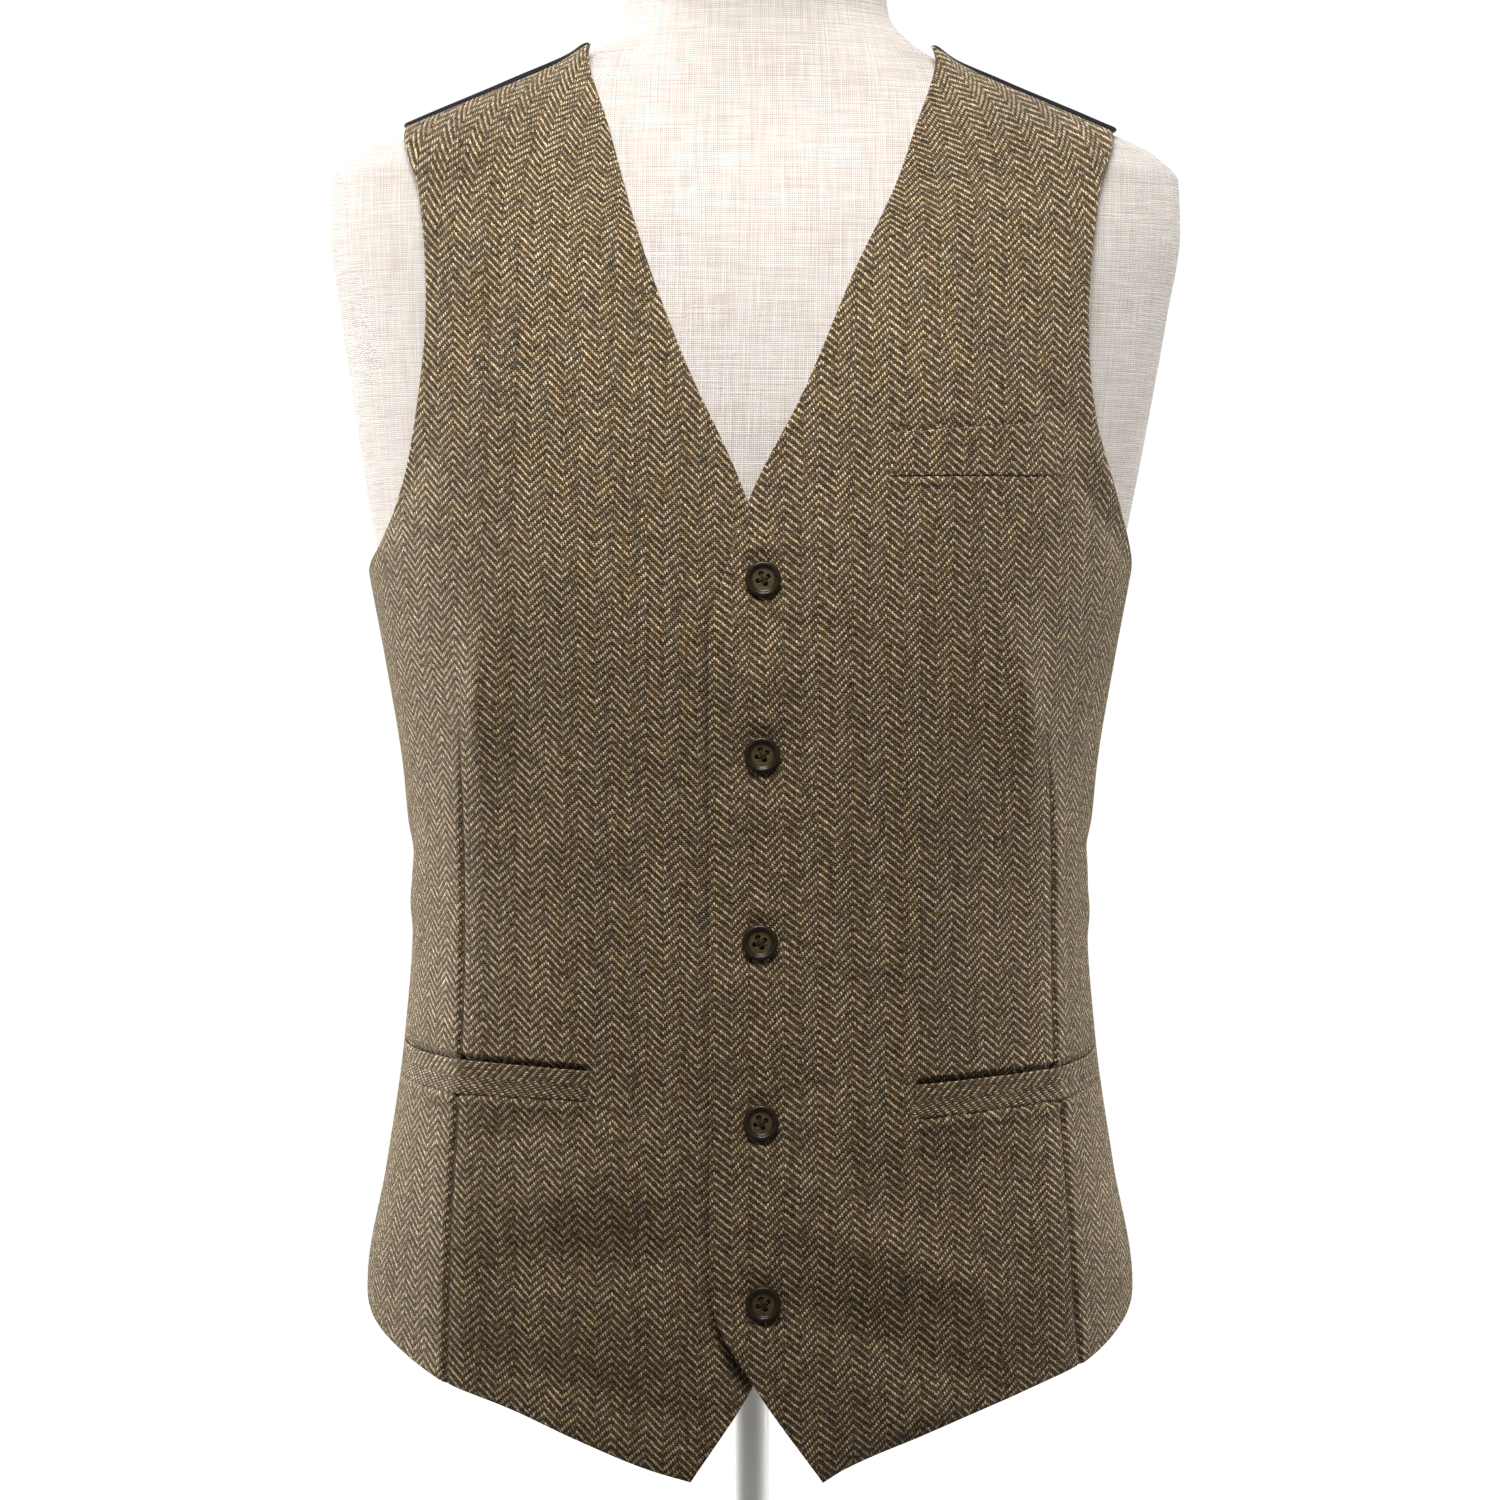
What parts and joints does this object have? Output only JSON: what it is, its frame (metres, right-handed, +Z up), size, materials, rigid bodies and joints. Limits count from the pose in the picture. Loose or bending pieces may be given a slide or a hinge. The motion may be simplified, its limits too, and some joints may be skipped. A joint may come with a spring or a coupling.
{
  "type": "suit waistcoat on a limbless dress form",
  "caption": "Single-breasted V-neck suit waistcoat in herringbone tweed with welt pockets and a satin back, buttoned on a limbless linen dress form on a low stand.",
  "frame": {"origin": "middle of the underside of the stand's round base, on the surface it stands on", "axes": "+Z up, the front of the waistcoat faces -Y, the wearer's left side is +X"},
  "size_m": [0.4028, 0.3, 0.9],
  "materials": {
    "tweed": "woolly herringbone tweed, matt",
    "satin": "black satin lining cloth, soft shine",
    "linen": "natural linen cover, matt",
    "horn": "polished dark brown horn look",
    "enamel": "white enamel, semi-gloss"
  },
  "bodies": {
    "root": {"front_left": "tweed", "front_right": "tweed", "back_left": "satin", "back_right": "satin", "chest_welt": "tweed", "pocket_welt_left": "tweed", "pocket_welt_right": "tweed", "button_1": "horn", "button_2": "horn", "button_3": "horn", "button_4": "horn", "button_5": "horn", "form_torso": "linen", "form_post": "enamel", "form_base": "enamel"}
  },
  "joints": []
}
